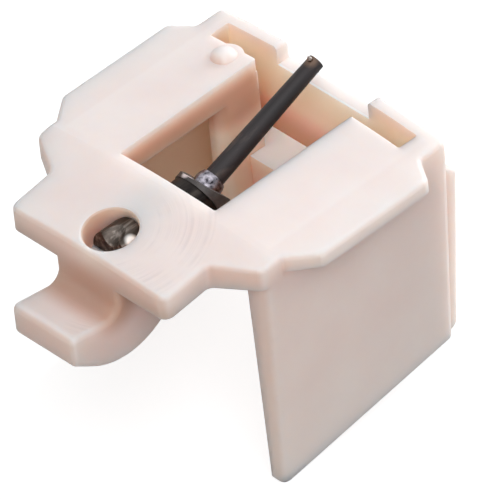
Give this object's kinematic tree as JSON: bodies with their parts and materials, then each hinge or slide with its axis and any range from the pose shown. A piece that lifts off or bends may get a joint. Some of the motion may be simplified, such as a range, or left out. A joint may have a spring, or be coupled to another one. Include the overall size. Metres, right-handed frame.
{
  "type": "turntable stylus",
  "caption": "Replacement stylus for a record player's pickup: cream moulded holder with side walls, window and finger tab, and a dark cantilever that carries the diamond tip.",
  "frame": {"origin": "middle of the bounding box's bottom, level with the front tips of the side walls, on the part's middle plane", "axes": "+Z from the side walls' tips up to the record side, +Y from the finger tab to the nose, where the diamond is, +X to the right, seen from the finger tab"},
  "size_m": [0.012, 0.0138, 0.0106],
  "materials": {
    "holder_plastic": "semi-gloss, slightly translucent",
    "tube_metal": "dull nickel",
    "damper_rubber": "matte",
    "collar_metal": "bright",
    "cantilever_metal": "satin black",
    "shank_metal": "satin",
    "diamond": "polished",
    "magnet_metal": "nickel plated",
    "wire_metal": "bright drawn",
    "anchor_brass": "turned"
  },
  "bodies": {
    "holder": {"stylus_holder": "holder_plastic", "support_tube": "tube_metal", "tie_wire": "wire_metal", "wire_anchor": "anchor_brass"},
    "damper": {"damper_ring": "damper_rubber"},
    "cantilever": {"cantilever": "cantilever_metal", "root_collar": "collar_metal", "tip_shank": "shank_metal", "stylus_tip": "diamond", "magnet": "magnet_metal"}
  },
  "joints": [
    {"name": "cantilever_yaw", "type": "hinge", "parent": "holder", "child": "damper", "pos_m": [0, 0.00003, 0.00812], "axis": [0, -0.3502, 0.9367], "range_deg": [-3, 3], "stiffness_Nm_per_rad": 0.0036, "deforming": ["damper_ring", "tie_wire"]},
    {"name": "cantilever_pitch", "type": "hinge", "parent": "damper", "child": "cantilever", "pos_m": [0, 0.00003, 0.00812], "axis": [1, 0, 0], "range_deg": [-3, 3], "stiffness_Nm_per_rad": 0.0036, "deforming": ["damper_ring", "tie_wire"]}
  ]
}
